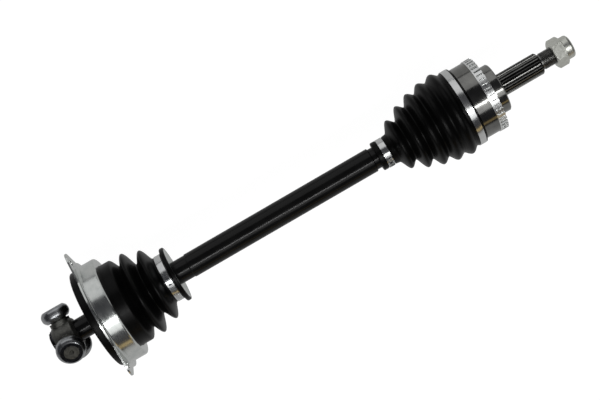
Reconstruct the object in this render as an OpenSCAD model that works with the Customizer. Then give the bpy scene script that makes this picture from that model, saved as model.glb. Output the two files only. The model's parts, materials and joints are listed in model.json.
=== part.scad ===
// Front-wheel drive axle: ball joint and splined stub at the wheel end (+X),
// bare tripod at the gearbox end (-X), with a rubber gaiter that bolts to the gearbox.
// The origin is on the axle's axis, in the face that seats against the wheel hub.

/* [Axle] */
// Distance from the hub seat to the centre of the tripod
axle_length = 556.5; // [500:0.5:760]
// Diameter of the plain bar
bar_d = 28.5; // [26:0.5:36]
// Diameter of the bar under the small end of the wheel-side boot
boot_seat_d = 25.4; // [24:0.2:25.8]
// Diameter of the bar inside the wheel joint
throat_d = 21.6; // [20:0.2:22]
// Diameter of the land that carries the gaiter's bearing and seal
bearing_land_d = 27; // [26:0.5:28]
// Diameter of the bar between the gaiter's bearing and the tripod
tail_d = 25; // [22:0.5:25.5]

/* [Wheel joint] */
// Solid left between the ends of the ball tracks and the back of the shoulder
joint_floor = 0.3; // [0.2:0.1:4]
// Wall of the joint housing outside a ball track
bell_wall = 5.25; // [4.5:0.05:8]
// Distance from the joint's centre to the housing's open end
mouth_depth = 18; // [17:0.5:20]
// Diameter of the circle through the ball centres
ball_circle_d = 60; // [56:0.5:61]
// Diameter of each ball
ball_d = 15.875; // [15:0.125:16.6]
// Clearance round a ball in its track
track_gap = 0.3; // [0.25:0.01:0.4]
// Radial gap between the spherical faces of race, cage and housing
sphere_gap = 0.3; // [0.2:0.05:0.4]
// Thickness of the ball cage's wall
cage_wall = 5.5; // [4.5:0.1:6]
// Gap between a ball and its cage window along the axle
window_gap = 0.35; // [0.3:0.01:0.5]
// Width of the ball cage along the axle
cage_w = 25; // [23:0.5:28]
// Width of the inner race along the axle
race_w = 23; // [20:0.5:24]

/* [Stub axle] */
// Diameter of the shoulder that seats against the hub
seat_d = 58; // [50:0.5:62]
// Length of the shoulder behind the hub seat
seat_w = 13; // [10:0.5:16]
// Diameter over the teeth of the hub spline
spline_d = 26; // [25:0.1:30]
// Number of teeth on the hub spline
spline_teeth = 23; // [21:1:28]
// Height of a hub spline tooth
spline_h = 1.3; // [1:0.1:1.6]
// Length of the hub spline
spline_w = 53; // [45:0.5:60]
// Outside diameter of the hub nut's thread
thread_d = 20; // [18:0.5:22]
// Pitch of the hub nut's thread
thread_pitch = 1.5; // [1.25:0.25:2]
// Length of the threaded end
thread_w = 39; // [36:0.5:44]
// Distance from the spline's end to the hub nut
nut_stand_off = 16.5; // [12:0.5:20]
// Hub nut size across the flats
nut_flats = 30; // [28:1:36]
// Height of the hub nut's hexagon
nut_hex_h = 14; // [12:0.5:16]
// Wall of the hub nut's locking collar
nut_collar_wall = 3.5; // [3:0.1:5]
// Height of the hub nut's locking collar
nut_collar_h = 9.5; // [7:0.5:11]

/* [Toothed ring] */
// Outside diameter of the toothed ring for the wheel speed sensor
tone_d = 88.6; // [88:0.2:106]
// Width of the toothed ring
tone_w = 10; // [8:0.5:12]
// Number of teeth on the toothed ring
tone_teeth = 44; // [29:1:48]
// Depth of the gaps between the ring's teeth
tone_gap_h = 2.4; // [2:0.1:2.6]
// Wall of the ring under its gaps
tone_wall = 1.5; // [1.2:0.1:2]

/* [Wheel-side boot] */
// Number of folds of the wheel-side boot
boot_folds = 5; // [4:1:6]
// Length of the folded part of the boot
boot_fold_w = 84; // [70:0.5:95]
// Diameter over the largest fold
boot_big_fold_d = 102; // [97:0.5:116]
// Diameter over the smallest fold
boot_small_fold_d = 48; // [44:0.5:60]
// Wall of both rubber boots, measured across the axis
rubber_wall = 2.2; // [1.8:0.1:2.6]
// Width of a clamp band
band_w = 7.5; // [6:0.5:8.5]
// Thickness of a clamp band
band_t = 0.9; // [0.7:0.1:1.2]

/* [Gaiter] */
// Distance from the tripod's centre to the bearing's outer face
bearing_offset = 134.5; // [128:0.5:170]
// Outside diameter of the gaiter's bearing
bearing_d = 49; // [47:0.5:50]
// Width of the gaiter's bearing
bearing_w = 10; // [8.5:0.5:13]
// Diameter of each ball in the gaiter's bearing
bearing_ball_d = 5.5; // [5:0.1:5.8]
// Number of balls in the gaiter's bearing
bearing_balls = 14; // [10:1:16]
// Width of the gaiter's oil seal
seal_w = 5; // [4:0.5:8]
// Diameter over the rubber lip round the dust shield
lip_d = 66.5; // [64:0.5:72]
// Diameter over the gaiter's middle fold
gaiter_fold_d = 100.5; // [90:0.5:101]

/* [Flange] */
// Distance from the tripod's centre to the face that bolts to the gearbox
flange_offset = 47; // [44:0.5:60]
// Outside diameter of the pressed cup
cup_d = 122; // [120:0.5:140]
// Depth of the pressed cup
cup_h = 22; // [20:0.5:24]
// Thickness of the pressed sheet
sheet_t = 2; // [1.5:0.1:2.4]
// Distance from the cup's outside to the centre of a bolt hole
bolt_stand_off = 12; // [10:0.5:18]
// Diameter of a bolt hole
bolt_hole_d = 9; // [7:0.5:11]
// Diameter of a bolt lug
lug_d = 26; // [24:0.5:30]
// How far the rubber stands into the gearbox past the flange
register_w = 10; // [7:0.5:13]

/* [Tripod] */
// Wall of a tripod roller
roller_wall = 4.15; // [4.1:0.05:5]
// Width of a tripod roller
roller_w = 14.4; // [13:0.2:15.4]
// Distance from the tripod's hub to the inner end of a roller
roller_stand_off = 2.9; // [2.7:0.1:5]
// Diameter of a tripod trunnion
trunnion_d = 19; // [18:0.2:19.4]
// Diameter of a needle
needle_d = 3; // [2.6:0.1:3]
// Diameter of the tripod's hub
tripod_hub_d = 37; // [34:0.5:38]
// Wall of the tripod's hub beside the foot of a trunnion
tripod_hub_wall = 1.4; // [1.2:0.1:4]

/* [Hidden] */
$fn = 96;
eps = 0.01;
run_gap = 0.05;        // radial gap of a running or pushed-on fit
clear = 0.3;           // gap between pieces that pass each other
boot_seat_step = 1;    // depth of the housing's seat for the boot
boot_lip_reach = 1;    // how far the boot's lip lies past the joint's centre
collar_reach = 11;     // from the joint's centre to the first fold
small_end_w = 20;      // length of the boot's small end

steel_dark = "#26272a";
steel_bright = "#8e9092";
zinc = "#b9bcba";
rubber = "#141414";

// Sizes that follow from what goes inside
track_r = ball_d / 2 + track_gap;
track_sweep_in = 43;   // degrees of a housing track on the stub side of the joint's centre
track_sweep_out = 58;
bell_d = ball_circle_d + 2 * (track_r + bell_wall);
joint_depth = seat_w + joint_floor + ball_circle_d / 2 * sin(track_sweep_in) + track_r;
nut_collar_d = thread_d + 2 * nut_collar_wall;
cup_throat_d = cup_d - 20;
bolt_circle_d = cup_d + 2 * bolt_stand_off;
trunnion_foot = 2.6;   // how far a trunnion's foot stands out from it
roller_bore_d = trunnion_d + 2 * needle_d + 4 * run_gap;
roller_d = roller_bore_d + 2 * roller_wall;
roller_reach = tripod_hub_d / 2 + roller_stand_off + roller_w / 2;
tripod_hub_w = trunnion_d + 2 * (trunnion_foot + tripod_hub_wall);
needle_gap = 0.1;
needles = floor(180 / asin((needle_d + needle_gap) / (trunnion_d + needle_d + 2 * run_gap)));

// Places along the axle
joint_x = -joint_depth;
tripod_x = -axle_length;
mouth_x = joint_x - mouth_depth;
thread_x = spline_w;
nut_x = spline_w + nut_stand_off;
collar_x = nut_x + nut_hex_h;
stub_end_x = thread_x + thread_w;
tone_x = -seat_w - tone_w;
bearing_x = tripod_x + bearing_offset - bearing_w;
seal_x = bearing_x - seal_w - clear;
flange_x = tripod_x + flange_offset;
cup_end_x = flange_x + cup_h;

// A closed outline [radius, x] turned about the axle
module turned(outline) {
    rotate([0, 90, 0]) rotate_extrude() polygon(outline);
}

// A plain round bar or bore between two places along the axle
module round_bar(d, x0, x1) {
    translate([x0, 0, 0]) rotate([0, 90, 0]) cylinder(d = d, h = x1 - x0);
}

module ring(outer_d, inner_d, x0, x1) {
    difference() {
        round_bar(outer_d, x0, x1);
        round_bar(inner_d, x0 - eps, x1 + eps);
    }
}

// A toothed bar: each tooth has a flat crest and two straight flanks
module splines(outer_d, tooth_h, teeth, x0, x1) {
    step = 360 / teeth;
    root = outer_d / 2 - tooth_h;
    points = [for (i = [0 : teeth - 1], p = [[root, -0.32], [outer_d / 2, -0.14], [outer_d / 2, 0.14], [root, 0.32]])
        p[0] * [cos((i + p[1]) * step), sin((i + p[1]) * step)]];
    translate([x0, 0, 0]) rotate([0, 90, 0]) linear_extrude(x1 - x0) polygon(points);
}

// An open ring of round wire in a groove
module circlip(outer_d, inner_d, x0, x1) {
    difference() {
        ring(outer_d, inner_d, x0, x1);
        translate([x0 - 1, -1.5, 0]) cube([x1 - x0 + 2, 3, outer_d]);
    }
}

// ---- Bar ----

race_spline_teeth = 26;
race_spline_h = 1.1;
tripod_spline_teeth = 24;
tripod_spline_h = 1.3;
circlip_w = 1.4;
circlip_h = 1.2;
root_gap = 0.3;    // the core of a splined piece stands this far inside its teeth's roots
bar_end_x = joint_x + race_w / 2 + 5;
race_stop_x = joint_x - race_w / 2;
tripod_hub_x0 = tripod_x - tripod_hub_w / 2;
tripod_hub_x1 = tripod_x + tripod_hub_w / 2;
bar_start_x = tripod_hub_x0 - 4.5;
throat_end_x = joint_x - 44;
land_x0 = seal_x - 2;
land_x1 = bearing_x + bearing_w + 22.5;
boot_end_x = joint_x - collar_reach - boot_fold_w - small_end_w;
bar_x1 = boot_end_x - 5.5;
race_clip_x = joint_x + race_w / 2 + run_gap;
tripod_clip_x = tripod_hub_x0 - run_gap - circlip_w;

module drive_bar() {
    bevel = 1;
    land_r = bearing_land_d / 2;
    race_core_r = throat_d / 2 - race_spline_h - root_gap;
    tripod_core_r = tail_d / 2 - tripod_spline_h - root_gap;
    outline = [
        [0, bar_start_x], [tripod_core_r - 1, bar_start_x], [tripod_core_r, bar_start_x + bevel],
        [tripod_core_r, tripod_hub_x1], [tail_d / 2, tripod_hub_x1 + run_gap],
        [tail_d / 2, land_x0 - 1], [land_r, land_x0], [land_r, land_x1],
        [bar_d / 2, land_x1 + bevel], [bar_d / 2, bar_x1 - bevel],
        [boot_seat_d / 2, bar_x1], [boot_seat_d / 2, throat_end_x - 6],
        [throat_d / 2, throat_end_x], [throat_d / 2, race_stop_x - run_gap],
        [race_core_r, race_stop_x - run_gap], [race_core_r, bar_end_x - bevel],
        [race_core_r - 1, bar_end_x], [0, bar_end_x]
    ];
    color(steel_dark) difference() {
        union() {
            turned(outline);
            splines(throat_d, race_spline_h, race_spline_teeth, race_stop_x - eps, bar_end_x - bevel);
            splines(tail_d, tripod_spline_h, tripod_spline_teeth, bar_start_x + bevel, tripod_hub_x1 + eps);
        }
        ring(throat_d + 2, throat_d - 2 * circlip_h, race_clip_x, race_clip_x + circlip_w + run_gap);
        ring(tail_d + 2, tail_d - 2 * circlip_h, tripod_clip_x - run_gap, tripod_clip_x + circlip_w);
    }
}

// ---- Wheel joint ----

ball_r = ball_d / 2;
ball_reach = ball_circle_d / 2;
cage_mid_r = ball_reach + 0.35;
cage_outer_r = cage_mid_r + cage_wall / 2;
cage_inner_r = cage_mid_r - cage_wall / 2;
race_r = cage_inner_r - sphere_gap;
housing_inner_r = cage_outer_r + sphere_gap;
ball_angles = [30, 90, 150, 210, 270, 330];
window_w = ball_d + 3.6;
race_sweep = 46;

module at_joint() {
    translate([joint_x, 0, 0]) children();
}

// The path of a ball at azimuth 0, from one side of the joint's centre to the other
module track(sweep_in, sweep_out) {
    rotate([0, 0, 90 - sweep_in]) rotate_extrude(angle = sweep_in + sweep_out)
        translate([ball_reach, 0]) circle(track_r);
}

module inner_race() {
    color(steel_bright) difference() {
        at_joint() intersection() {
            sphere(race_r);
            translate([-race_w / 2, -race_r, -race_r]) cube([race_w, 2 * race_r, 2 * race_r]);
        }
        at_joint() for (a = ball_angles) rotate([a, 0, 0]) track(race_sweep, race_sweep);
        splines(throat_d + 2 * run_gap, race_spline_h, race_spline_teeth, joint_x - race_w, joint_x + race_w);
        round_bar(throat_d - 2 * race_spline_h + 2 * root_gap, joint_x - race_w, joint_x + race_w);
    }
}

module race_circlip() {
    color(steel_bright) circlip(throat_d + 2.4, throat_d - 2 * circlip_h + 2 * run_gap,
        race_clip_x, race_clip_x + circlip_w);
}

module ball_cage() {
    window_h = ball_d + 2 * window_gap;
    color(steel_bright) at_joint() difference() {
        intersection() {
            sphere(cage_outer_r);
            translate([-cage_w / 2, -cage_outer_r, -cage_outer_r])
                cube([cage_w, 2 * cage_outer_r, 2 * cage_outer_r]);
        }
        sphere(cage_inner_r);
        for (a = ball_angles) rotate([a, 0, 0])
            translate([-window_h / 2, cage_inner_r / 2, -window_w / 2])
                cube([window_h, cage_outer_r, window_w]);
    }
}

module joint_ball(i) {
    color(steel_bright) at_joint() rotate([ball_angles[i], 0, 0]) translate([0, ball_reach, 0]) sphere(ball_r);
}

module joint_housing() {
    bell_r = bell_d / 2;
    seat_r = seat_d / 2;
    seat_groove_r = bell_r - boot_seat_step;
    thread_root_r = thread_d / 2 - 0.62 * thread_pitch;
    core_r = spline_d / 2 - spline_h - root_gap;
    mouth_r = housing_inner_r + 2.6;
    pocket_x = 2 - seat_w;
    body = [
        [0, mouth_x], [seat_groove_r - 1, mouth_x], [seat_groove_r, mouth_x + 1],
        [seat_groove_r, joint_x + boot_lip_reach + 0.6], [bell_r, joint_x + boot_lip_reach + 1.2],
        [bell_r, tone_x], [tone_seat_d / 2, tone_x + eps], [tone_seat_d / 2, -seat_w - 2.5],
        [tone_seat_d / 2 - 2.5, -seat_w], [seat_r, -seat_w],
        [seat_r, -1.2], [seat_r - 1.2, 0], [spline_d / 2 + 2, 0], [spline_d / 2 + 0.6, 0.9],
        [spline_d / 2 + 0.6, 2.2], [core_r, 4.6], [core_r, spline_w - 1.2], [thread_d / 2 - 0.8, spline_w],
        [thread_d / 2 - 0.8, spline_w + 2], [thread_root_r, spline_w + 2.5],
        [thread_root_r, stub_end_x - 1], [thread_root_r - 1, stub_end_x], [0, stub_end_x]
    ];
    threads = floor((thread_w - 4) / thread_pitch);
    color(steel_dark) difference() {
        union() {
            turned(body);
            difference() {
                splines(spline_d, spline_h, spline_teeth, 2, spline_w);
                // Bevel on the leading end of the teeth
                turned([[spline_d / 2 - 1.5, spline_w + eps], [spline_d / 2 + 1, spline_w + eps],
                    [spline_d / 2 + 1, spline_w - 2.5]]);
            }
            for (i = [0 : threads - 1]) {
                x = spline_w + 2.8 + i * thread_pitch;
                turned([[thread_root_r - 0.2, x], [thread_root_r, x], [thread_d / 2, x + 0.4 * thread_pitch],
                    [thread_d / 2, x + 0.55 * thread_pitch], [thread_root_r, x + 0.95 * thread_pitch],
                    [thread_root_r - 0.2, x + 0.95 * thread_pitch]]);
            }
        }
        intersection() {
            at_joint() sphere(housing_inner_r);
            round_bar(4 * housing_inner_r, joint_x - 2 * housing_inner_r, pocket_x);
        }
        // Entry bore and the flare that lets the bar swing
        turned([[0, mouth_x - 1], [mouth_r + 1, mouth_x - 1], [mouth_r, mouth_x + eps],
            [mouth_r - 5, mouth_x + 6], [0, mouth_x + 6]]);
        at_joint() for (a = ball_angles) rotate([a, 0, 0]) track(track_sweep_in, track_sweep_out);
        // Centre drilling of the stub
        turned([[0, stub_end_x - 5], [0.5, stub_end_x - 5], [1.5, stub_end_x - 4], [1.5, stub_end_x - 2.5],
            [4, stub_end_x + eps], [0, stub_end_x + eps]]);
    }
}

// ---- Toothed ring ----

tone_seat_d = tone_d - 2 * (tone_gap_h + tone_wall);

module tone_ring() {
    step = 360 / tone_teeth;
    gap = 0.46;
    web = 1.5;
    outer_r = tone_d / 2;
    color(zinc) difference() {
        ring(tone_d, tone_seat_d + 2 * run_gap, tone_x + run_gap, tone_x + tone_w);
        for (i = [0 : tone_teeth - 1]) rotate([(i + 0.5) * step, 0, 0])
            translate([tone_x + web, outer_r - tone_gap_h, -outer_r * sin(gap * step / 2)])
                cube([tone_w, 2 * tone_gap_h, 2 * outer_r * sin(gap * step / 2)]);
    }
}

// ---- Hub nut ----

insert_h = 4;
insert_gap = 0.3;

module hub_nut() {
    corner_r = nut_flats / sqrt(3);
    collar_r = nut_collar_d / 2;
    end_x = collar_x + nut_collar_h;
    color(steel_bright) difference() {
        union() {
            intersection() {
                translate([nut_x, 0, 0]) rotate([0, 90, 0]) rotate(30)
                    cylinder(r = corner_r, h = nut_hex_h + eps, $fn = 6);
                // Both ends of the hexagon are chamfered at 30 degrees
                turned([[0, nut_x], [nut_flats / 2 - 0.4, nut_x], [corner_r + 0.2, nut_x + 1.9],
                    [corner_r + 0.2, collar_x - 1.9], [nut_flats / 2 - 0.4, collar_x + 2 * eps], [0, collar_x + 2 * eps]]);
            }
            turned([[0, collar_x - 1], [collar_r, collar_x - 1], [collar_r, end_x - 3],
                [collar_r - 0.6, end_x - 1.2], [collar_r - 2.4, end_x], [0, end_x]]);
        }
        round_bar(thread_d + 2 * run_gap, nut_x - 1, end_x + 1);
        turned([[0, nut_x - eps], [thread_d / 2 + 1.2, nut_x - eps], [thread_d / 2, nut_x + 1.2], [0, nut_x + 1.2]]);
        ring(thread_d + 3.4, thread_d, end_x - 1.5 - insert_h - insert_gap, end_x - 1.5 + eps);
    }
}

module nut_lock_insert() {
    end_x = collar_x + nut_collar_h;
    color(zinc) ring(thread_d + 3.4 - 2 * run_gap, thread_d + 2 * run_gap,
        end_x - 1.5 - insert_h - insert_gap / 2, end_x - 1.5 - insert_gap / 2);
}

// ---- Wheel-side boot ----

boot_collar_d = bell_d + 4.6;
boot_small_d = boot_seat_d + 7.4;
wave_steps = 5;           // outline steps in each half of a fold

function blend(a, b, t) = a + (b - a) * (1 - cos(180 * t)) / 2;

// Outline between two turning points [x, radius] along a half wave
function half_wave(p, q, steps) =
    [for (i = [0 : steps - 1]) let (t = i / steps) [blend(p[1], q[1], t), p[0] + (q[0] - p[0]) * t]];

function wave(points, steps) = concat(
    [for (k = [0 : len(points) - 2]) each half_wave(points[k], points[k + 1], steps)],
    [[points[len(points) - 1][1], points[len(points) - 1][0]]]);

function reversed(list) = [for (i = [len(list) - 1 : -1 : 0]) list[i]];

// Turning points of the wheel-side boot, from its collar down to its small end. Each fold
// takes its place by a share of the folded length, and the folds narrow along a curve.
function boot_place(s) = joint_x - collar_reach - boot_fold_w * s;
function fold_d(s) = boot_small_fold_d + (boot_big_fold_d - boot_small_fold_d) * sin(90 * pow(1 - s, 0.8));
boot_valley_h = 9.5;
boot_turns = [
    for (i = [0 : 2 * boot_folds])
        let (s = i / (2 * boot_folds), top = i % 2 == 1)
        i == 0 ? [boot_place(0), boot_collar_d / 2 - 0.8]
        : i == 2 * boot_folds ? [boot_place(1), boot_small_d / 2 + 1.4]
        : [boot_place(s), fold_d(s) / 2 - (top ? 0 : boot_valley_h * (0.35 + s))]
];

module wheel_boot() {
    r0 = boot_small_d / 2;
    seat_r = bell_d / 2 - boot_seat_step + run_gap;
    bore_r = boot_seat_d / 2 + run_gap;
    outer = wave(boot_turns, wave_steps);
    inner = [for (p = outer) p - [rubber_wall, 0]];
    x1 = joint_x + boot_lip_reach;
    band_x = joint_x - 4.5 - band_w / 2;
    small_x = boot_place(1) - 6 - band_w;
    outline = concat(
        [[seat_r, x1], [boot_collar_d / 2 + 0.6, x1], [boot_collar_d / 2 + 0.6, band_x + band_w + 0.4],
            [boot_collar_d / 2, band_x + band_w + 0.4], [boot_collar_d / 2, band_x - 0.4],
            [boot_collar_d / 2 + 0.4, band_x - 0.6]],
        outer,
        [[r0 + 0.8, small_x + band_w + 0.4], [r0, small_x + band_w + 0.4], [r0, small_x - 0.4], [r0 + 0.9, small_x - 0.6],
            [r0 + 0.9, boot_end_x + 1], [r0, boot_end_x], [bore_r, boot_end_x], [bore_r, boot_place(1) - 2]],
        reversed(inner),
        [[seat_r, boot_place(0) + 0.5]]);
    color(rubber) turned(outline);
}

clamp_turn = 165;    // from +Z, where a clamp's ear stands

// A clamp band with its raised ear, seated on rubber of diameter d
module clamp_band(d, x) {
    inner_r = d / 2 + run_gap;
    outer_r = inner_r + band_t;
    ear_h = 3.4;
    ear_w = 7;
    color(zinc) union() {
        ring(2 * outer_r, 2 * inner_r, x, x + band_w);
        // Ear: a narrow closed arch across the band
        rotate([clamp_turn, 0, 0]) difference() {
            translate([x + 0.3, outer_r - 0.35, -ear_w / 2]) cube([band_w - 0.6, ear_h, ear_w]);
            translate([x - 1, outer_r + 0.45, -ear_w / 2 + band_t])
                cube([band_w + 2, ear_h - 0.35 - 0.45 - band_t, ear_w - 2 * band_t]);
        }
    }
}

module wheel_boot_big_clamp() {
    clamp_band(boot_collar_d, joint_x - 4.5 - band_w / 2);
}

module wheel_boot_small_clamp() {
    clamp_band(boot_small_d, boot_place(1) - 6 - band_w);
}

// ---- Gaiter and its bearing ----

race_t = 3.4;
inner_ring_d = bearing_land_d + 2 * race_t;
outer_ring_bore = bearing_d - 2 * race_t;
bearing_pitch_d = (inner_ring_d + outer_ring_bore) / 2;
groove_gap = 0.08;
gaiter_collar_d = bearing_d + 6;
gaiter_bore_d = bearing_d + 2 * run_gap;
bearing_mid_x = bearing_x + bearing_w / 2;
lip_x = bearing_x + bearing_w + 1;
gaiter_clamp_x = lip_x - 0.8 - band_w;

module bearing_groove() {
    translate([bearing_mid_x, 0, 0]) rotate([0, 90, 0]) rotate_extrude()
        translate([bearing_pitch_d / 2, 0]) circle(bearing_ball_d / 2 + groove_gap, $fn = 48);
}

module gaiter_bearing_outer_ring() {
    color(steel_bright) difference() {
        ring(bearing_d, outer_ring_bore, bearing_x, bearing_x + bearing_w);
        bearing_groove();
    }
}

module gaiter_bearing_inner_ring() {
    color(steel_bright) difference() {
        ring(inner_ring_d, bearing_land_d + 2 * run_gap, bearing_x, bearing_x + bearing_w);
        bearing_groove();
    }
}

module gaiter_bearing_balls() {
    color(steel_bright) for (i = [0 : bearing_balls - 1]) rotate([i * 360 / bearing_balls, 0, 0])
        translate([bearing_mid_x, bearing_pitch_d / 2, 0]) sphere(bearing_ball_d / 2, $fn = 48);
}

module gaiter_bearing_cage() {
    gap = (outer_ring_bore - inner_ring_d) / 2;
    color("#8a7440") difference() {
        ring(bearing_pitch_d + gap / 2, bearing_pitch_d - gap / 2, bearing_mid_x - 4, bearing_mid_x + 4);
        for (i = [0 : bearing_balls - 1]) rotate([i * 360 / bearing_balls, 0, 0])
            translate([bearing_mid_x, (bearing_pitch_d - bearing_ball_d) / 2, 0]) rotate([-90, 0, 0])
                cylinder(d = bearing_ball_d + 0.24, h = bearing_ball_d);
    }
}

// Steel case with a rubber lip that runs on the bar's land
module gaiter_oil_seal() {
    case_r = bearing_d / 2;
    lip_r = bearing_land_d / 2 + run_gap;
    color(rubber) turned([
        [case_r, seal_x + seal_w], [case_r, seal_x], [case_r - 1.5, seal_x],
        [case_r - 1.5, seal_x + seal_w - 1.6], [lip_r + 2.4, seal_x + seal_w - 1.6],
        [lip_r + 2.4, seal_x + 1], [lip_r + 1.2, seal_x + 1], [lip_r, seal_x + 2.6],
        [lip_r + 0.8, seal_x + seal_w - 1], [lip_r + 0.8, seal_x + seal_w]]);
}

// Pressed disc inside the rubber lip, on the open side of the bearing
module gaiter_dust_shield() {
    outer_r = lip_d / 2 - 2.6;
    inner_r = bearing_land_d / 2 + 0.6;
    x = lip_x + 0.1;
    color(zinc) turned([
        [inner_r, x + 1.2], [inner_r, x + 2.2], [outer_r - 7, x + 2.2], [outer_r - 1, x + 5.6],
        [outer_r, x + 5.6], [outer_r, x + 3.4], [outer_r - 6, x + 1.2], [outer_r - 7, x + 1.2]]);
}

module gaiter() {
    collar_r = gaiter_collar_d / 2;
    bore_r = gaiter_bore_d / 2;
    lip_r = lip_d / 2;
    cup_inner_r = cup_d / 2 - sheet_t - run_gap;
    big_r = gaiter_fold_d / 2;
    stop_x = seal_x - 1;
    mouth_r = cup_throat_d / 2 - run_gap;
    folds_x0 = gaiter_clamp_x - 2;
    folds_w = folds_x0 - cup_end_x;
    // Turning points of the three folds, from the bearing to the flange
    turns = [
        [folds_x0, collar_r + 0.4],
        [folds_x0 - 0.16 * folds_w, big_r - 6.8],
        [folds_x0 - 0.33 * folds_w, collar_r + 3.6],
        [folds_x0 - 0.50 * folds_w, big_r],
        [folds_x0 - 0.64 * folds_w, collar_r + 11.5],
        [folds_x0 - 0.82 * folds_w, big_r + 0.2],
        [cup_end_x + 1, mouth_r - 0.6]];
    outer = wave(turns, wave_steps);
    inner = [for (p = outer) p - [rubber_wall, 0]];
    web_x = cup_end_x - sheet_t - clear;
    outline = concat(
        [[bore_r, lip_x], [lip_r - 2.4, lip_x + 1.6], [lip_r - 2.4, lip_x + 4.6], [lip_r - 1, lip_x + 5.6],
            [lip_r, lip_x + 4.4], [lip_r, lip_x + 1.8], [collar_r + 2.2, lip_x],
            [collar_r, gaiter_clamp_x + band_w + 0.3],
            [collar_r, gaiter_clamp_x - 0.4]],
        outer,
        [[mouth_r, cup_end_x], [mouth_r, web_x], [cup_inner_r - 3, web_x], [cup_inner_r, web_x - 3],
            [cup_inner_r, flange_x - register_w + 1.5], [cup_inner_r - 1.5, flange_x - register_w],
            [cup_inner_r - 8, flange_x - register_w], [cup_inner_r - 10, flange_x - register_w + 3],
            [mouth_r - 4, cup_end_x - 8]],
        reversed(inner),
        // Sleeve that holds the oil seal under the first fold
        [[bore_r + 1.1, folds_x0 - 1], [bore_r + 1.1, stop_x - 0.2], [bore_r - 3, stop_x - 0.2], [bore_r - 3, stop_x + 0.8], [bore_r, stop_x + 0.8]]);
    color(rubber) turned(outline);
}

module gaiter_clamp() {
    clamp_band(gaiter_collar_d, gaiter_clamp_x);
}

// ---- Flange ----

lug_angles = [24, 144, 264];   // from +Y towards +Z

// One pressing: a cup that holds the rubber, a flat rim and three bolt lugs
module flange_plate() {
    outer_r = cup_d / 2;
    inner_r = outer_r - sheet_t;
    bend = 3;
    rim_r = outer_r + 5.5;
    throat_r = cup_throat_d / 2;
    plate_x = flange_x + sheet_t;
    color(zinc) difference() {
        union() {
            turned([
                [inner_r, flange_x], [rim_r, flange_x], [rim_r, plate_x], [outer_r + bend, plate_x],
                each [for (a = [10 : 20 : 90]) [outer_r + bend - bend * sin(a), plate_x + bend - bend * cos(a)]],
                [outer_r, cup_end_x - bend],
                each [for (a = [15 : 25 : 90]) [outer_r - bend + bend * cos(a), cup_end_x - bend + bend * sin(a)]],
                [throat_r, cup_end_x], [throat_r, cup_end_x - sheet_t],
                [inner_r - 2, cup_end_x - sheet_t], [inner_r, cup_end_x - sheet_t - 2]]);
            for (a = lug_angles) lug(a);
        }
        for (a = lug_angles) rotate([a, 0, 0]) translate([flange_x - 1, bolt_circle_d / 2, 0])
            rotate([0, 90, 0]) cylinder(d = bolt_hole_d, h = sheet_t + 2, $fn = 48);
    }
}

// A lug whose sides run straight into the rim
module lug(a) {
    r = bolt_circle_d / 2;
    root_r = cup_d / 2 + 2;
    half = 30;
    tip = lug_d / 2;
    lean = 50;
    color(zinc) rotate([a, 0, 0]) translate([flange_x, 0, 0]) rotate([90, 0, 90]) linear_extrude(sheet_t) union() {
        translate([r, 0]) circle(tip, $fn = 64);
        polygon([
            [r + tip * cos(lean), tip * sin(lean)], [root_r * cos(half), root_r * sin(half)],
            [root_r, 0],
            [root_r * cos(half), -root_r * sin(half)], [r + tip * cos(lean), -tip * sin(lean)]]);
    }
}

// ---- Tripod ----

trunnion_angles = [0, 120, 240];   // from +Y towards +Z
needle_len = roller_w - 4.4;
roller_gap = 0.1;
washer_x = needle_len / 2 + roller_gap;      // measured along a trunnion from a roller's middle
washer_t = 0.8;
roller_clip_x = washer_x + washer_t + run_gap;
trunnion_end = roller_reach + roller_w / 2 - 0.6;

// Turns a piece made along +Z, with the roller's middle at z = 0, onto a trunnion
module on_trunnion(i) {
    translate([tripod_x, 0, 0]) rotate([trunnion_angles[i], 0, 0])
        translate([0, roller_reach, 0]) rotate([-90, 0, 0]) children();
}

module tube(outer_d, inner_d, z0, z1) {
    difference() {
        translate([0, 0, z0]) cylinder(d = outer_d, h = z1 - z0);
        translate([0, 0, z0 - eps]) cylinder(d = inner_d, h = z1 - z0 + 2 * eps);
    }
}

module tripod_spider() {
    hub_r = tripod_hub_d / 2;
    top = trunnion_end - roller_reach;
    color(steel_dark) difference() {
        union() {
            turned([
                [0, tripod_hub_x0], [hub_r - 4, tripod_hub_x0], [hub_r, tripod_hub_x0 + 5],
                [hub_r, tripod_hub_x1 - 3], [hub_r - 3, tripod_hub_x1], [0, tripod_hub_x1]]);
            for (i = [0 : 2]) on_trunnion(i) rotate_extrude() polygon([
                [0, -roller_reach + 5], [trunnion_d / 2, -roller_reach + 5],
                [trunnion_d / 2 + trunnion_foot, 6 - roller_reach], [trunnion_d / 2 + trunnion_foot, -roller_w / 2 - 1.4],
                [trunnion_d / 2, -roller_w / 2 - 1.4], [trunnion_d / 2, top - 1],
                [trunnion_d / 2 - 1, top], [3, top], [0.8, top - 2.2], [0, top - 2.2]]);
        }
        splines(tail_d + 2 * run_gap, tripod_spline_h, tripod_spline_teeth, tripod_hub_x0 - 1, tripod_hub_x1 + 1);
        round_bar(tail_d - 2 * tripod_spline_h + 2 * root_gap, tripod_hub_x0 - 1, tripod_hub_x1 + 1);
        for (i = [0 : 2]) on_trunnion(i)
            tube(trunnion_d + 1, trunnion_d - 1.6, roller_clip_x - run_gap, roller_clip_x + 1 + run_gap);
    }
}

module tripod_circlip() {
    color(steel_bright) circlip(tail_d + 3, tail_d - 2 * circlip_h + 2 * run_gap,
        tripod_clip_x, tripod_clip_x + circlip_w - run_gap);
}

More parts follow.
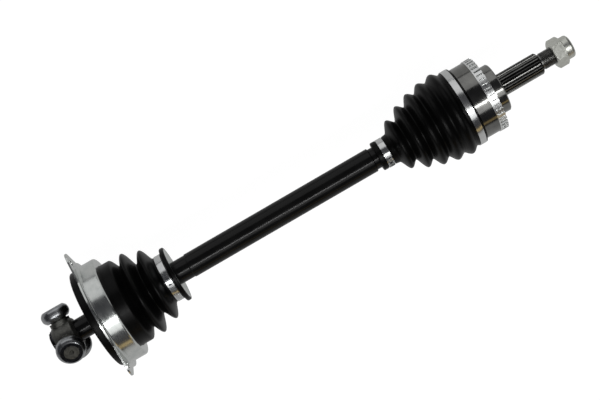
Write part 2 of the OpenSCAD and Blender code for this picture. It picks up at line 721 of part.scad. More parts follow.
// Crowned roller with a plain bore and a recess for the washer and clip at its outer end
module roller(i) {
    half = roller_w / 2;
    crown_r = roller_d / 2;
    bore_r = roller_bore_d / 2;
    edge = 3.2;
    crown = [for (t = [-1 : 0.25 : 1]) [crown_r - edge * pow(abs(t), 2.6), t * (half - 0.6)]];
    color(steel_bright) on_trunnion(i) rotate_extrude() polygon(concat(
        [[bore_r, -half], [crown_r - edge - 0.9, -half]], crown, [[crown_r - edge - 0.9, half], [bore_r, half]]));
}

module needle_set(i) {
    reach = trunnion_d / 2 + needle_d / 2 + run_gap;
    color(steel_bright) on_trunnion(i) for (k = [0 : needles - 1]) rotate([0, 0, k * 360 / needles])
        translate([reach, 0, -needle_len / 2]) cylinder(d = needle_d, h = needle_len, $fn = 24);
}

module needle_washer(i) {
    color(steel_dark) on_trunnion(i)
        tube(roller_bore_d - 0.6, trunnion_d + 2 * run_gap, washer_x, washer_x + washer_t);
}

module roller_circlip(i) {
    color(steel_bright) on_trunnion(i) difference() {
        tube(trunnion_d + 2.4, trunnion_d - 1.6 + 2 * run_gap, roller_clip_x, roller_clip_x + 1);
        translate([0, -1.5, roller_clip_x - 1]) cube([trunnion_d, 3, 4]);
    }
}

drive_bar();
inner_race();
race_circlip();
ball_cage();
for (i = [0 : 5]) joint_ball(i);
joint_housing();
tone_ring();
hub_nut();
nut_lock_insert();
wheel_boot();
wheel_boot_big_clamp();
wheel_boot_small_clamp();
gaiter();
gaiter_clamp();
gaiter_bearing_outer_ring();
gaiter_bearing_inner_ring();
gaiter_bearing_balls();
gaiter_bearing_cage();
gaiter_oil_seal();
gaiter_dust_shield();
flange_plate();
tripod_spider();
tripod_circlip();
for (i = [0 : 2]) {
    roller(i);
    needle_set(i);
    needle_washer(i);
    roller_circlip(i);
}
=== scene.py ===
# %% [markdown]
# # A front-wheel drive axle
# The axle carries the engine's turning force from the gearbox to a front wheel. It has a ball joint under
# a rubber boot at the wheel end, a painted bar, and a bare tripod at the gearbox end that runs inside a
# rubber gaiter on a bolt-on flange. The steel pieces come from the solid model and get their finishes
# here. The rubber and the clamp bands are modelled here, because they are what the solid model keeps plain.

# %% Load the solid model
import json
import math

import bmesh
import bpy
from mathutils import Matrix, Vector


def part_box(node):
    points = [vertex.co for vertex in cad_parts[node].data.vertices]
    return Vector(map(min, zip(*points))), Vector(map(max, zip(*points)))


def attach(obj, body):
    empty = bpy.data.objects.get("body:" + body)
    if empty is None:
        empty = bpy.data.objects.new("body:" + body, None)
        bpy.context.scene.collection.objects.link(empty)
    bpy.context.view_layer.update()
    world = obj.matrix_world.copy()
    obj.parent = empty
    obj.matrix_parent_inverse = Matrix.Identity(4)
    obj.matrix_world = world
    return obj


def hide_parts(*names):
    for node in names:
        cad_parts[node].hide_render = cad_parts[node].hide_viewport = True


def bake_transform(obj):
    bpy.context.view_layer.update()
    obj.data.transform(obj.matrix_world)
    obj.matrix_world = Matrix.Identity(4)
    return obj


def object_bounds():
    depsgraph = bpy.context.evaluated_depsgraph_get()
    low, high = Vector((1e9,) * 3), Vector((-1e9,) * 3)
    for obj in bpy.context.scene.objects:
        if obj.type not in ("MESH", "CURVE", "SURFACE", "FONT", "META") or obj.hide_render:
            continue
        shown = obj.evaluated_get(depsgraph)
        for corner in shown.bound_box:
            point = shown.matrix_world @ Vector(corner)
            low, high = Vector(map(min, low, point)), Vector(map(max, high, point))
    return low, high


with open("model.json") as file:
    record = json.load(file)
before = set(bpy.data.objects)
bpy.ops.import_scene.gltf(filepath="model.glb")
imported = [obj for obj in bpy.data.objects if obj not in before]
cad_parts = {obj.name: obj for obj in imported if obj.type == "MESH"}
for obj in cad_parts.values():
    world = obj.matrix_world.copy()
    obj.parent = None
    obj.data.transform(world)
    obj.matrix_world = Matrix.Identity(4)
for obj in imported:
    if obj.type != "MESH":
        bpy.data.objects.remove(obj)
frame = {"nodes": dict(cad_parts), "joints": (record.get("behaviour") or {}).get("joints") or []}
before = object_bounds()
MM = 0.001

# %% [markdown]
# ## Where things are
# Everything lies along X, so most places are a distance along the axle. They could be typed in as numbers,
# but they are read from the solid model's own boxes and joints, so that the rubber sits on its seats. Only
# the folds and small edges are given here, in millimetres.

# %% Places along the axle
joint_at = {joint["name"]: Vector(joint["pos_m"]) for joint in frame["joints"] if "pos_m" in joint}
bend_x = joint_at["wheel_joint_bend"].x
boot_low, boot_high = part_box("wheel_boot")
gaiter_low, gaiter_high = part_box("gaiter")
cup_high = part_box("flange_plate")[1]
axle_low = before[0]
print(f"the wheel joint bends at {bend_x:.4f} m, the lowest lug ends at {axle_low.z:.4f} m")

# %% [markdown]
# ## The camera
# The camera hangs above the axle and looks straight down. It is rolled by 30 degrees, so the wheel end
# rises to the upper right of the frame. The axle could be turned instead, but every piece has to stay where
# the solid model puts it. A long lens keeps the two ends close to the same scale.

# %% Camera
roll = math.radians(30.1)
camera_height = 1.62
aim = Vector((-0.2555, 0.0017, 0))
camera_data = bpy.data.cameras.new("camera")
camera_data.lens = 86.9
camera_data.sensor_width = 36
camera = bpy.data.objects.new("camera", camera_data)
camera.matrix_world = Matrix.Translation(aim + Vector((0, 0, camera_height))) @ Matrix.Rotation(-roll, 4, "Z")
bpy.context.scene.collection.objects.link(camera)
bpy.context.scene.camera = camera
print(f"camera {camera_height} m up, lens {camera_data.lens:.1f} mm")

# %% [markdown]
# ## Two helpers
# A material is a graph of nodes, and making one by hand takes a line for the node, one for each setting and
# one for each link. `add` does all of it in one line. `make_piece` turns a finished bmesh into an object that
# sits at the origin, with its place in its mesh.

# %% Node and piece helpers
def add(tree, kind, inputs=None, **settings):
    """Adds a node. An input is a value to set, or another node's output to link."""
    node = tree.nodes.new("ShaderNode" + kind)
    for name, value in settings.items():
        setattr(node, name, value)
    for socket, value in (inputs or {}).items():
        if isinstance(value, bpy.types.NodeSocket):
            tree.links.new(value, node.inputs[socket])
        else:
            node.inputs[socket].default_value = value
    return node


def make_piece(name, shape):
    data = bpy.data.meshes.new(name)
    shape.to_mesh(data)
    shape.free()
    piece = bpy.data.objects.new(name, data)
    bpy.context.scene.collection.objects.link(piece)
    print(name, len(data.polygons), "faces")
    return piece


# %% [markdown]
# ## The floor
# A plain white sheet lies under the axle and lights the underside of the metal. White paper under strong
# lamps would do, but it would grey towards its edges, so the sheet glows like a light table. It glows less
# for the metal than for the eye, which keeps the reflections grey. It lies 35 mm below the lowest lug,
# because the stub reaches lower than the lugs when the wheel joint bends.

# %% Floor
floor_drop = 35 * MM
floor_half_width = 6
glow_on_axle, glow_seen = 0.42, 0.97
sheet = bmesh.new()
bmesh.ops.create_grid(sheet, x_segments=1, y_segments=1, size=floor_half_width)
bmesh.ops.translate(sheet, verts=sheet.verts, vec=(aim.x, 0, axle_low.z - floor_drop))
floor = make_piece("floor", sheet)
light_table = bpy.data.materials.new("light_table")
light_table.use_nodes = True
table_tree = light_table.node_tree
table_shader = table_tree.nodes["Principled BSDF"]
table_shader.inputs["Base Color"].default_value = (0.12, 0.12, 0.12, 1)
table_shader.inputs["Roughness"].default_value = 0.9
table_shader.inputs["Specular IOR Level"].default_value = 0.0
table_shader.inputs["Emission Color"].default_value = (1, 1, 1, 1)
seen = add(table_tree, "LightPath")
glow = add(table_tree, "MapRange", {
    "Value": seen.outputs["Is Camera Ray"], "To Min": glow_on_axle, "To Max": glow_seen})
table_tree.links.new(glow.outputs["Result"], table_shader.inputs["Emission Strength"])
floor.data.materials.append(light_table)

# %% [markdown]
# ## The lights
# Black rubber and shiny zinc show only what they reflect. One big lamp overhead would fill every ring with
# the same white, so the room is dark straight above. A narrow strip light, 18 degrees off the vertical,
# draws the thin line along the bar. A large soft box beyond it gives each metal ring its white band, and a
# dimmer one on the other side fills in the grey. A small warm card low down leaves a golden streak.

# %% Lights
def box_light(name, angle, distance, size, radiance, colour=(1, 1, 1)):
    """A soft box that faces the axle. The angle is from straight up, towards -Y."""
    data = bpy.data.lights.new(name, "AREA")
    data.color = colour
    data.shape = "RECTANGLE"
    data.size, data.size_y = size
    data.energy = radiance * math.pi * size[0] * size[1]
    light = bpy.data.objects.new(name, data)
    turn = Matrix.Rotation(math.radians(angle), 4, "X")
    light.matrix_world = Matrix.Translation((aim.x, 0, 0)) @ turn @ Matrix.Translation((0, 0, distance))
    bpy.context.scene.collection.objects.link(light)
    print(f"{name}: {data.energy:.1f} W")


box_light("strip", angle=18, distance=1.35, size=(2.0, 0.08), radiance=17.0)
box_light("soft_box", angle=29, distance=1.4, size=(2.4, 0.66), radiance=1.15)
box_light("low_fill", angle=-62, distance=1.6, size=(2.6, 1.45), radiance=0.68)
box_light("warm_card", angle=79, distance=1.5, size=(2.4, 0.2), radiance=0.6, colour=(1.0, 0.72, 0.28))

# %% [markdown]
# ## The room
# A white room would wash out the dark side of every ring, and a black one would show behind the floor. So
# the room is nearly black to the axle and white to the eye.

# %% Room
room_dark, room_white = (0.05, 0.05, 0.055, 1), (0.95, 0.95, 0.95, 1)
world = bpy.data.worlds.new("studio")
bpy.context.scene.world = world
world.use_nodes = True
rays = add(world.node_tree, "LightPath")
backdrop = add(world.node_tree, "Mix", {
    "A": room_dark, "B": room_white, "Factor": rays.outputs["Is Camera Ray"]}, data_type="RGBA")
world.node_tree.links.new(backdrop.outputs["Result"], world.node_tree.nodes["Background"].inputs["Color"])
bpy.context.scene.view_settings.view_transform = "Standard"
print("room:", world.name)

# %% [markdown]
# ## Tools for the finishes
# A picture editor shows a colour in sRGB, but a shader needs linear numbers. `hex_colour` turns one into the
# other. `per_metre` turns a real grain size into a noise scale, so every pattern below is given in
# millimetres.

# %% Material helpers
def hex_colour(code):
    parts = [int(code[i : i + 2], 16) / 255 for i in (1, 3, 5)]
    return tuple(c / 12.92 if c <= 0.04045 else ((c + 0.055) / 1.055) ** 2.4 for c in parts) + (1.0,)


def per_metre(size_mm):
    """Noise scale at which one grain of the pattern is size_mm across."""
    return 1 / (size_mm * MM)


def start_finish(name, **sockets):
    """A new material with its constant sockets set, and the place on the axle that its patterns read."""
    material = bpy.data.materials.new(name)
    material.use_nodes = True
    tree = material.node_tree
    shader = tree.nodes["Principled BSDF"]
    for socket, value in sockets.items():
        shader.inputs[socket.replace("_", " ")].default_value = value
    place = add(tree, "TexCoord").outputs["Object"]
    return material, tree, shader, place


def ramp(tree, factor, *stops):
    """A colour ramp. A stop is a position with a colour, or with a grey given as one number."""
    node = add(tree, "ValToRGB", {"Fac": factor})
    elements = node.color_ramp.elements
    while len(elements) < len(stops):
        elements.new(0.5)
    for element, (position, colour) in zip(elements, stops):
        element.position = position
        element.color = colour if isinstance(colour, tuple) else (colour, colour, colour, 1)
    return node.outputs["Color"]


def bump(tree, shader, height, depth_mm, strength):
    node = add(tree, "Bump", {"Height": height, "Distance": depth_mm * MM, "Strength": strength})
    tree.links.new(node.outputs["Normal"], shader.inputs["Normal"])


def use(tree, shader, **links):
    """Links outputs to the shader's sockets by name."""
    for socket, output in links.items():
        tree.links.new(output, shader.inputs[socket.replace("_", " ")])


# %% [markdown]
# ## Black rubber
# Boots are moulded chloroprene. A fine matt grain from the mould breaks up the shine, and a thin bloom
# of wax greys it in patches. A plain black would do for the colour, but the folds would run together, so
# one noise makes the bloom and another lifts the grain. The grain of the real thing is about 0.1 mm, drawn
# here at 0.6 mm so that it shows.

# %% Rubber
def moulded_rubber():
    material, tree, shader, place = start_finish(
        "moulded_chloroprene", Metallic=0.0, IOR=1.52, Specular_IOR_Level=0.1)
    bloom = add(tree, "TexNoise", {"Vector": place, "Scale": per_metre(22), "Detail": 5.0, "Roughness": 0.6})
    grain = add(tree, "TexNoise", {"Vector": place, "Scale": per_metre(0.6), "Detail": 3.0})
    colour = ramp(tree, bloom.outputs["Fac"], (0.35, hex_colour("#050505")), (0.75, hex_colour("#0b0b0b")))
    rough = ramp(tree, bloom.outputs["Fac"], (0.3, 0.27), (0.75, 0.4))
    use(tree, shader, Base_Color=colour, Roughness=rough)
    bump(tree, shader, grain.outputs["Fac"], 0.03, 0.6)
    return material


rubber = moulded_rubber()
print(rubber.name)

# %% [markdown]
# ## Painted bar
# The bar is sprayed black over forged steel. Spray paint dries with a faint orange peel about 2 mm across,
# and handling leaves wide smears where it shines less. A clear coat over a black base could make the shine,
# but this paint is one thin coat, so its own roughness and bump carry both.

# %% Paint
def sprayed_black():
    material, tree, shader, place = start_finish(
        "sprayed_black_enamel", Metallic=0.0, IOR=1.5, Specular_IOR_Level=0.19)
    peel = add(tree, "TexNoise", {"Vector": place, "Scale": per_metre(2.0), "Detail": 2.0})
    smear = add(tree, "TexNoise", {"Vector": place, "Scale": per_metre(30), "Detail": 6.0, "Roughness": 0.65})
    colour = ramp(tree, smear.outputs["Fac"], (0.35, hex_colour("#0c0c0c")), (0.7, hex_colour("#121212")))
    rough = ramp(tree, smear.outputs["Fac"], (0.3, 0.14), (0.7, 0.24))
    use(tree, shader, Base_Color=colour, Roughness=rough)
    bump(tree, shader, peel.outputs["Fac"], 0.02, 0.5)
    return material


paint = sprayed_black()
print(paint.name)

# %% [markdown]
# ## Zones on the housing
# The wheel joint's housing is one forging with a turned bell, a milled spline and a rolled thread. Three
# materials could share it out by face, but its mesh stays as the solid model made it. So the finish changes
# by its place along the axle, in steps, and painted shade darkens the roots of the teeth.

# %% Zones along the axle
SHADED_SPAN = (-0.09, 0.1)
BELL_MM, SHOULDER_MM, SPLINE_MM, THREAD_MM = -90, -13, 0.4, 53.5
TOOTH_ROOT_R, TOOTH_TIP_R = 11.9 * MM, 12.8 * MM


def along_x(tree, place, *stops):
    """A grey that steps at places along the axle, given in millimetres."""
    low, high = SHADED_SPAN
    parts = add(tree, "SeparateXYZ", {"Vector": place})
    share = add(tree, "MapRange", {"Value": parts.outputs["X"], "From Min": low, "From Max": high})
    shares = [((x * MM - low) / (high - low), value) for x, value in stops]
    node = ramp(tree, share.outputs["Result"], *shares)
    node.node.color_ramp.interpolation = "CONSTANT"
    return node


def shade_in_tooth_roots(tree, place, colour):
    """Painted shade darkens the hub spline between its teeth, most at the roots."""
    across = add(tree, "VectorMath", {0: place, 1: (0, 1, 1)}, operation="MULTIPLY")
    radius = add(tree, "VectorMath", {0: across.outputs["Vector"]}, operation="LENGTH")
    # Painted shade: the colour is scaled down from the tooth tips to 0.06 at the roots.
    height = add(tree, "MapRange", {
        "Value": radius.outputs["Value"], "From Min": TOOTH_ROOT_R, "From Max": TOOTH_TIP_R,
        "To Min": 0.06, "To Max": 1.0})
    on_spline = along_x(tree, place, (BELL_MM, 0.0), (SPLINE_MM, 1.0), (THREAD_MM, 0.0))
    shade = add(tree, "Mix", {"Factor": on_spline, "A": 1.0, "B": height.outputs["Result"]})
    root_shaded = add(tree, "VectorMath", {0: colour, "Scale": shade.outputs["Result"]}, operation="SCALE")
    return root_shaded.outputs["Vector"]


print("shaded from", SHADED_SPAN[0], "to", SHADED_SPAN[1], "m")

# %% [markdown]
# ## Turned, ground and plated steel
# Turning leaves fine rings round the axle. Anisotropy could smear the highlights in the same way, but it
# shows no rings up close. So noise is squeezed along X until each grain of it runs right round. A second,
# coarser noise mottles the colour. The same graph serves every steel piece, with its own colours, roughness
# and ring spacing. The rings of a ground piece are finer than a tenth of a millimetre, drawn at 0.4 mm.

# %% Steel finishes
def steel(name, dark, light, rough_low, rough_high, ring_mm=0.7, ring_depth=0.01, mottle_mm=14, zones=None):
    material, tree, shader, place = start_finish(name, Metallic=1.0)
    around = (per_metre(ring_mm), 3.0, 3.0)
    rings = add(tree, "Mapping", {"Vector": place, "Scale": around})
    turned = add(tree, "TexNoise", {"Vector": rings.outputs["Vector"], "Scale": 1.0, "Detail": 4.0})
    mottle = add(tree, "TexNoise", {
        "Vector": place, "Scale": per_metre(mottle_mm), "Detail": 6.0, "Roughness": 0.6})
    both = add(tree, "Math", {0: turned.outputs["Fac"], 1: mottle.outputs["Fac"]}, operation="MULTIPLY")
    colour = ramp(tree, mottle.outputs["Fac"], (0.3, hex_colour(dark)), (0.7, hex_colour(light)))
    rough = ramp(tree, both.outputs["Value"], (0.12, rough_low), (0.45, rough_high))
    if zones:
        tint = along_x(tree, place, *zones)
        mixed = add(tree, "Mix", {"A": colour, "B": tint, "Factor": 1.0}, data_type="RGBA", blend_type="MULTIPLY")
        # Painted shade at the roots of the spline teeth.
        colour = shade_in_tooth_roots(tree, place, mixed.outputs["Result"])
        milled = along_x(tree, place, (BELL_MM, 0.0), (SPLINE_MM, 0.17), (THREAD_MM, 0.2))
        rough = add(tree, "Math", {0: rough, 1: milled}, operation="ADD").outputs["Value"]
    use(tree, shader, Base_Color=colour, Roughness=rough)
    bump(tree, shader, turned.outputs["Fac"], ring_depth, 0.5)
    print(name)
    return material


turned_steel = steel(
    "turned_bell_steel", "#6f6f6d", "#8a8a87", 0.12, 0.2, ring_depth=0.004,
    zones=[(BELL_MM, 0.95), (SHOULDER_MM, 1.0), (SPLINE_MM, 0.9), (THREAD_MM, 1.0)])
ground_steel = steel("ground_bearing_steel", "#8c8e90", "#a9abad", 0.24, 0.34, ring_mm=0.4, ring_depth=0.004)
polished_steel = steel("polished_ball_steel", "#c2c4c6", "#d0d2d4", 0.05, 0.09, ring_mm=0.4, ring_depth=0.0)
bright_zinc = steel("bright_zinc", "#c2c6c4", "#d6d8d5", 0.16, 0.26, ring_depth=0.004, mottle_mm=9)
satin_zinc = steel("satin_zinc", "#dcdedd", "#f0f1f0", 0.26, 0.36, ring_depth=0.006, mottle_mm=3)
matt_zinc = steel("matt_zinc", "#c6c8bf", "#dedfd8", 0.3, 0.46, mottle_mm=3)
stainless = steel("rolled_stainless_band", "#c6c8c8", "#dddedd", 0.16, 0.26, ring_mm=0.5, ring_depth=0.006)
phosphated = steel("phosphated_steel", "#50504e", "#70706b", 0.4, 0.55, mottle_mm=3)
spring_steel = steel("blued_spring_steel", "#2e2f33", "#414247", 0.25, 0.4, mottle_mm=3)
brass = steel("pressed_brass", "#9a7f3c", "#b5994f", 0.25, 0.38, mottle_mm=6)

# %% [markdown]
# ## The nut's insert
# A ring of moulded nylon in the nut's collar grips the thread. It isn't a metal, so it has its own small
# graph: off-white, a little cloudy, with the soft shine of a moulded plastic.

# %% Nylon
def moulded_nylon():
    material, tree, shader, place = start_finish("nylon", Metallic=0.0, IOR=1.53)
    cloud = add(tree, "TexNoise", {"Vector": place, "Scale": per_metre(3), "Detail": 3.0})
    colour = ramp(tree, cloud.outputs["Fac"], (0.3, hex_colour("#c9c6b2")), (0.7, hex_colour("#d9d6c4")))
    rough = ramp(tree, cloud.outputs["Fac"], (0.3, 0.4), (0.7, 0.52))
    use(tree, shader, Base_Color=colour, Roughness=rough)
    bump(tree, shader, cloud.outputs["Fac"], 0.02, 0.4)
    return material


nylon = moulded_nylon()
print(nylon.name)

# %% [markdown]
# ## Finishes on the solid pieces
# Each solid keeps its shape and takes the finish of the real piece. The finish could be guessed from a
# node's colour, but naming each piece is shorter and makes it plain which one was meant.

# %% Hand out the finishes
def finish_nodes(material, *names):
    """Gives a finish to nodes by name. A name that ends in _ stands for all its numbered nodes."""
    done = []
    for name, node in frame["nodes"].items():
        if any(name.startswith(n) if n.endswith("_") else name == n for n in names):
            node.data.materials.clear()
            node.data.materials.append(material)
            done.append(name)
    print(material.name, "->", ", ".join(sorted(done)))


finish_nodes(rubber, "wheel_boot", "gaiter", "gaiter_oil_seal")
finish_nodes(paint, "drive_bar")
finish_nodes(turned_steel, "joint_housing")
finish_nodes(ground_steel, "inner_race", "ball_cage", "roller_1", "roller_2", "roller_3", "needles_")
finish_nodes(ground_steel, "gaiter_bearing_inner_ring", "gaiter_bearing_outer_ring")
finish_nodes(polished_steel, "joint_ball_", "gaiter_bearing_balls")
finish_nodes(bright_zinc, "flange_plate", "gaiter_dust_shield")
finish_nodes(satin_zinc, "tone_ring")
finish_nodes(matt_zinc, "hub_nut")
finish_nodes(stainless, "wheel_boot_big_clamp", "wheel_boot_small_clamp", "gaiter_clamp")
finish_nodes(phosphated, "tripod_spider")
finish_nodes(spring_steel, "needle_washer_", "race_circlip", "tripod_circlip", "roller_circlip_")
finish_nodes(brass, "gaiter_bearing_cage")
finish_nodes(nylon, "nut_lock_insert")

# %% [markdown]
# ## Shapes turned about the axle
# A boot is a round shell. It could be a row of cones with their edges bevelled, but then each fold would be
# a separate job. Instead its outline is drawn once in a half plane and spun about the X axis. The outline is
# a closed loop: along the outside, round the end, and back along the inside.

# %% Spin an outline
SPIN_STEPS = 160


def curve_between(a, b, steps, crest=1.0):
    """Points from a to b along a half wave. A crest below 1 rounds the wide end and sharpens the valley."""
    points = []
    for i in range(steps):
        t = i / steps
        rise = (1 - math.cos(math.pi * t)) / 2
        if b[1] > a[1]:
            rise = rise**crest
        else:
            rise = 1 - (1 - rise) ** crest
        points.append((a[0] + (b[0] - a[0]) * t, a[1] + (b[1] - a[1]) * rise))
    return points


def wavy(turns, crest=1.0):
    """One line through crests and valleys, given in turn."""
    points = []
    for a, b in zip(turns, turns[1:]):
        points += curve_between(a, b, 12, crest)
    return points + [turns[-1]]


def inside(points):
    """The inner face of a wall, drawn back along the same line."""
    return [(x, r - wall) for x, r in reversed(points)]


def spin_outline(name, outline):
    shape = bmesh.new()
    verts = [shape.verts.new((x, 0, r)) for x, r in outline]
    for a, b in zip(verts, verts[1:] + verts[:1]):
        shape.edges.new((a, b))
    bmesh.ops.spin(
        shape, geom=shape.verts[:] + shape.edges[:], cent=(0, 0, 0), axis=(1, 0, 0),
        angle=2 * math.pi, steps=SPIN_STEPS, use_merge=True, use_duplicate=False)
    bmesh.ops.remove_doubles(shape, verts=shape.verts, dist=1e-7)
    bmesh.ops.recalc_face_normals(shape, faces=shape.faces)
    piece = make_piece(name, shape)
    piece.data.shade_smooth()
    piece.data.materials.append(rubber)
    return piece


# %% [markdown]
# ## The folds of the wheel-side boot
# Five folds get smaller, and their valleys deeper, from the joint down to the bar. Each crest is narrow and
# round and each valley is a sharp V, because that is how a blow-moulded boot leaves its mould. Displacing a
# plain cone would stretch its faces at the crests, so the folds are drawn in the outline.

# %% Folds of the boot
wall = 2.2 * MM
FOLDS = 5
bell_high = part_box("joint_housing")[1].z
fold_start = bend_x - 11 * MM
fold_length = 84 * MM
collar_r = bell_high + 2.3 * MM
crest_big, crest_small, valley_depth = boot_high.z, 24 * MM, 9.5 * MM
throat_r = 16.4 * MM
seat_r = 12.75 * MM


def crest_radius(share):
    return crest_small + (crest_big - crest_small) * math.sin(math.pi / 2 * (1 - share) ** 0.8)


boot_turns = [(fold_start, collar_r - 0.8 * MM)]
for i in range(1, 2 * FOLDS):
    share = i / (2 * FOLDS)
    dip = 0 if i % 2 else valley_depth * (0.35 + share)
    boot_turns.append((fold_start - fold_length * share, crest_radius(share) - dip))
boot_turns.append((fold_start - fold_length, throat_r + 1.4 * MM))
folds = wavy(boot_turns, crest=0.72)
print(FOLDS, "folds over", round(fold_length / MM), "mm")

# %% [markdown]
# ## The wheel-side boot
# The boot ends in two plain collars with a shallow groove for a clamp in each. It crosses the bending
# joint, so it can't ride on one side, and it is built in place without following either one.

# %% Wheel-side boot
big_low, big_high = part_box("wheel_boot_big_clamp")
small_low, small_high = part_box("wheel_boot_small_clamp")
lip_x, end_x = boot_high.x, boot_low.x
outline = [
    (lip_x, bell_high - 0.9 * MM), (lip_x, collar_r), (lip_x - 0.5 * MM, collar_r + 0.6 * MM),
    (big_high.x + 0.9 * MM, collar_r + 0.6 * MM), (big_high.x + 0.4 * MM, collar_r + 0.05 * MM),
    (big_high.x, collar_r), (big_low.x, collar_r), (big_low.x - 0.4 * MM, collar_r + 0.3 * MM)]
outline += folds
outline += [
    (small_high.x + 1.2 * MM, throat_r + 0.8 * MM), (small_high.x + 0.5 * MM, throat_r),
    (small_low.x - 0.4 * MM, throat_r), (small_low.x - 0.6 * MM, throat_r + 0.7 * MM),
    (small_low.x - 1.2 * MM, throat_r + 0.95 * MM), (end_x + 0.9 * MM, throat_r + 0.95 * MM),
    (end_x, throat_r + 0.2 * MM), (end_x, seat_r), (fold_start - fold_length - 2 * MM, seat_r)]
outline += inside(folds)
outline += [(fold_start + 0.5 * MM, bell_high - 0.95 * MM)]
wheel_boot = spin_outline("wheel_boot_rubber", outline)
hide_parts("wheel_boot")
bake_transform(wheel_boot)

# %% [markdown]
# ## The folds of the gaiter
# The gaiter joins its bearing on the bar to the flange on the gearbox. It has two narrow folds and one
# broad one that sits down in the flange's cup. The tilt and the slide of the flange are two joints, and a
# piece can bend over only one, so the gaiter is made in two halves that meet in the bottom of a valley.

# %% Folds of the gaiter
band_low, band_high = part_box("gaiter_clamp")
bearing_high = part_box("gaiter_bearing_outer_ring")[1]
gaiter_collar_r = bearing_high.z + 3 * MM
bore_r = bearing_high.z + 0.05 * MM
cup_throat_r = 50.95 * MM
big_r = 50.25 * MM
folds_start = band_low.x - 2 * MM
folds_length = folds_start - cup_high.x
gaiter_turns = [
    (folds_start, gaiter_collar_r + 0.4 * MM),
    (folds_start - 0.16 * folds_length, big_r - 6.8 * MM),
    (folds_start - 0.33 * folds_length, gaiter_collar_r + 3.6 * MM),
    (folds_start - 0.50 * folds_length, big_r),
    (folds_start - 0.64 * folds_length, gaiter_collar_r + 11.5 * MM)]
valley = gaiter_turns[-1]
narrow_folds = wavy(gaiter_turns, crest=0.8)
broad_fold = curve_between(valley, (folds_start - 0.79 * folds_length, big_r + 0.2 * MM), 14, 0.8)
broad_fold += wavy([
    (folds_start - 0.85 * folds_length, big_r + 0.2 * MM), (cup_high.x + MM, cup_throat_r - 0.6 * MM)])
print("the halves meet at", round(valley[0], 4), "m")

# %% [markdown]
# ## The gaiter's bearing half
# This half grips the bearing under its clamp, and a thick lip beyond the clamp holds the dust shield.

# %% Gaiter, bearing half
rim_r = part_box("gaiter_dust_shield")[1].z + 2.6 * MM
gaiter_lip_x = gaiter_high.x - 5.6 * MM
outline = [
    (gaiter_lip_x - 2 * MM, bore_r), (gaiter_lip_x, bore_r), (gaiter_lip_x + 1.6 * MM, rim_r - 2.4 * MM),
    (gaiter_lip_x + 4.6 * MM, rim_r - 2.4 * MM), (gaiter_lip_x + 5.3 * MM, rim_r - 1.9 * MM),
    (gaiter_lip_x + 5.6 * MM, rim_r - 1.1 * MM), (gaiter_lip_x + 5.3 * MM, rim_r - 0.4 * MM),
    (gaiter_lip_x + 4.6 * MM, rim_r), (gaiter_lip_x + 1.8 * MM, rim_r),
    (gaiter_lip_x + 1.0 * MM, rim_r - 0.6 * MM), (gaiter_lip_x + 0.3 * MM, gaiter_collar_r + 3.0 * MM),
    (gaiter_lip_x - 0.2 * MM, gaiter_collar_r + 1.2 * MM), (band_high.x + 0.3 * MM, gaiter_collar_r + 0.3 * MM),
    (band_high.x + 0.2 * MM, gaiter_collar_r), (band_low.x - 0.3 * MM, gaiter_collar_r)]
outline += narrow_folds + inside(narrow_folds)
outline += [(folds_start + 0.8 * MM, bore_r)]
bearing_half = spin_outline("gaiter_bearing_half", outline)
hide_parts("gaiter")
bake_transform(bearing_half)

# %% [markdown]
# ## The sleeve of the oil seal
# A short sleeve inside the collar holds the oil seal against the bearing. It could be part of the half
# above, but it is a piece of its own that rides on the bearing.

# %% Seal sleeve
stop_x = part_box("gaiter_oil_seal")[0].x - 1.2 * MM
seal_sleeve = spin_outline("gaiter_seal_sleeve", [
    (folds_start + 1.2 * MM, bore_r), (folds_start + 1.2 * MM, bore_r + 1.1 * MM), (stop_x, bore_r + 1.1 * MM),
    (stop_x, bore_r - 3 * MM), (stop_x + MM, bore_r - 3 * MM), (stop_x + MM, bore_r)])
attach(seal_sleeve, "bearing_outer")

# %% [markdown]
# ## The gaiter's flange half
# The broad fold sits down in the flange's cup. Behind the cup the rubber thickens into a register that
# stands past the flange and seals in the gearbox. It is one outline, so the wall runs on without a seam.

# %% Gaiter, flange half
web_x = cup_high.x - 2.3 * MM
register_r = 58.95 * MM
register_x = gaiter_low.x
outline = broad_fold + [
    (cup_high.x, cup_throat_r), (web_x, cup_throat_r), (web_x - 0.3 * MM, register_r - 3 * MM),
    (web_x - 1.2 * MM, register_r - 1 * MM), (web_x - 3 * MM, register_r),
    (register_x + 6 * MM, register_r), (register_x + 5.4 * MM, register_r),
    (register_x + 1.5 * MM, register_r), (register_x + 0.4 * MM, register_r - 0.5 * MM),
    (register_x, register_r - 1.5 * MM), (register_x, register_r - 7 * MM),
    (register_x + 0.5 * MM, register_r - 8.4 * MM), (register_x + 3 * MM, register_r - 10 * MM),
    (cup_high.x - 8 * MM, cup_throat_r - 4 * MM)]
outline += inside(broad_fold)
flange_half = spin_outline("gaiter_flange_half", outline)
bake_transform(flange_half)

# %% [markdown]
# ## Strips and blocks
# Each clamp is one strip of stainless steel wound round the rubber. It could be drawn flat and bent with a
# modifier, but its ends would then shift with its length. Here a small rectangle is spun through the angle
# that it covers, and the ribs and ear are blocks set at an angle on top. The slots are dark blocks on top too,
# which paint the shade inside each slot.

# %% Strips and blocks
def round_off(shape, width):
    """Breaks every sharp edge, as a pressed edge is never quite sharp."""
    sharp = [e for e in shape.edges if len(e.link_faces) == 2 and e.calc_face_angle() > 0.6]
    bmesh.ops.bevel(
        shape, geom=sharp, offset=width, affect="EDGES", segments=2, profile=0.5, material=-1,
        clamp_overlap=True)


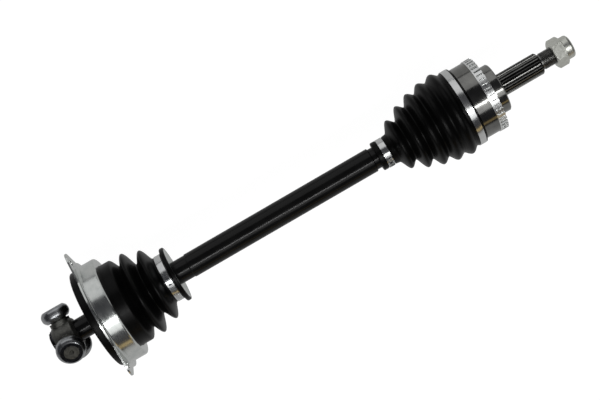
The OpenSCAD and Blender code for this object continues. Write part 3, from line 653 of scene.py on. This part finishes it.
def turned_strip(shape, inner_r, thickness, x0, x1, from_deg, sweep_deg, steps):
    """Adds a strip that follows a circle, starting from_deg from +Z towards -Y."""
    corners = [(x0, inner_r), (x1, inner_r), (x1, inner_r + thickness), (x0, inner_r + thickness)]
    verts = [shape.verts.new((x, 0, r)) for x, r in corners]
    if sweep_deg == 360:
        edges = [shape.edges.new((verts[i], verts[(i + 1) % 4])) for i in range(4)]
        bmesh.ops.spin(
            shape, geom=verts + edges, cent=(0, 0, 0), axis=(1, 0, 0), angle=2 * math.pi, steps=steps,
            use_merge=True, use_duplicate=False)
        return
    bmesh.ops.rotate(shape, verts=verts, cent=(0, 0, 0), matrix=Matrix.Rotation(math.radians(from_deg), 3, "X"))
    face = shape.faces.new(verts)
    made = bmesh.ops.extrude_face_region(shape, geom=[face], use_keep_orig=True)
    bmesh.ops.delete(shape, geom=made["geom"], context="VERTS")
    bmesh.ops.spin(
        shape, geom=[face] + list(face.edges) + list(face.verts), cent=(0, 0, 0), axis=(1, 0, 0),
        angle=math.radians(sweep_deg), steps=steps, use_merge=False, use_duplicate=True)


def small_block(shape, size, radius, x, deg, finish=0):
    """Adds a block that sits at a radius, turned deg from +Z towards -Y."""
    turn = Matrix.Rotation(math.radians(deg), 4, "X")
    place = turn @ Matrix.Translation((x, 0, radius)) @ Matrix.Diagonal((*size, 1))
    made = bmesh.ops.create_cube(shape, size=1, matrix=place)
    for face in {face for vert in made["verts"] for face in vert.link_faces}:
        face.material_index = finish


# %% [markdown]
# ## Clamp bands
# A plain ring would pass for a clamp from far off. What makes it one is its lap, where one end lies over
# the other and hooks into two slots, the row of fine ribs beside it, and the ear on the far side that is
# pinched to draw the strip tight.

# %% Clamp bands
BAND_THICK = 0.9 * MM
LAP_LENGTH = 24 * MM
RIB_SPACING = 1.5 * MM
EAR_DEG, EAR_WIDTH, EAR_RISE = -165, 7 * MM, 3.0 * MM
# The second finish is dark steel for the slots: painted shade inside each slot.
STEEL_FINISH, SLOT_SHADE_FINISH = 0, 1


def clamp_band(node, body, seat_r, hook_deg, rib_count):
    low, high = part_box(node)
    middle, width = (low.x + high.x) / 2, high.x - low.x
    inner = seat_r + 0.03 * MM
    outer = inner + BAND_THICK
    shape = bmesh.new()
    turned_strip(shape, inner, BAND_THICK, low.x, high.x, 0, 360, 144)
    lap_deg = math.degrees(LAP_LENGTH / inner)
    turned_strip(
        shape, outer + 0.02 * MM, BAND_THICK * 0.6, low.x + 0.5 * MM, high.x - 0.5 * MM,
        hook_deg - lap_deg / 2, lap_deg, 24)
    lap_top = inner + BAND_THICK * 1.6
    # The two slots are dark blocks on the lap: painted shade where the hooks sink in.
    for side in (-1, 1):
        small_block(
            shape, (width * 0.45, 1.5 * MM, 0.9 * MM), lap_top - 0.3 * MM, middle,
            hook_deg + side * lap_deg * 0.14, SLOT_SHADE_FINISH)
    for k in range(rib_count):
        rib_deg = hook_deg + lap_deg * 0.6 + math.degrees((1.2 * MM + RIB_SPACING * k) / inner)
        small_block(shape, (width * 0.7, 0.6 * MM, 0.24 * MM), outer, middle, rib_deg)
    for side in (-1, 1):
        leg_deg = EAR_DEG + side * math.degrees(EAR_WIDTH / 2 / inner)
        small_block(
            shape, (width * 0.92, BAND_THICK, EAR_RISE), outer + EAR_RISE / 2 - 0.3 * MM, middle, leg_deg)
    small_block(
        shape, (width * 0.92, EAR_WIDTH + BAND_THICK, BAND_THICK), outer + EAR_RISE - 0.45 * MM, middle,
        EAR_DEG, STEEL_FINISH)
    round_off(shape, 0.16 * MM)
    bmesh.ops.recalc_face_normals(shape, faces=shape.faces)
    piece = make_piece(node + "_strip", shape)
    piece.data.set_sharp_from_angle(angle=math.radians(35))
    piece.data.materials.append(stainless)
    # Dark steel for the painted shade in the slots.
    piece.data.materials.append(spring_steel)
    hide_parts(node)
    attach(piece, body)


clamp_band("wheel_boot_big_clamp", "bell", collar_r, hook_deg=118, rib_count=6)
clamp_band("wheel_boot_small_clamp", "bar", throat_r, hook_deg=38, rib_count=0)
clamp_band("gaiter_clamp", "bearing_outer", gaiter_collar_r, hook_deg=8, rib_count=9)
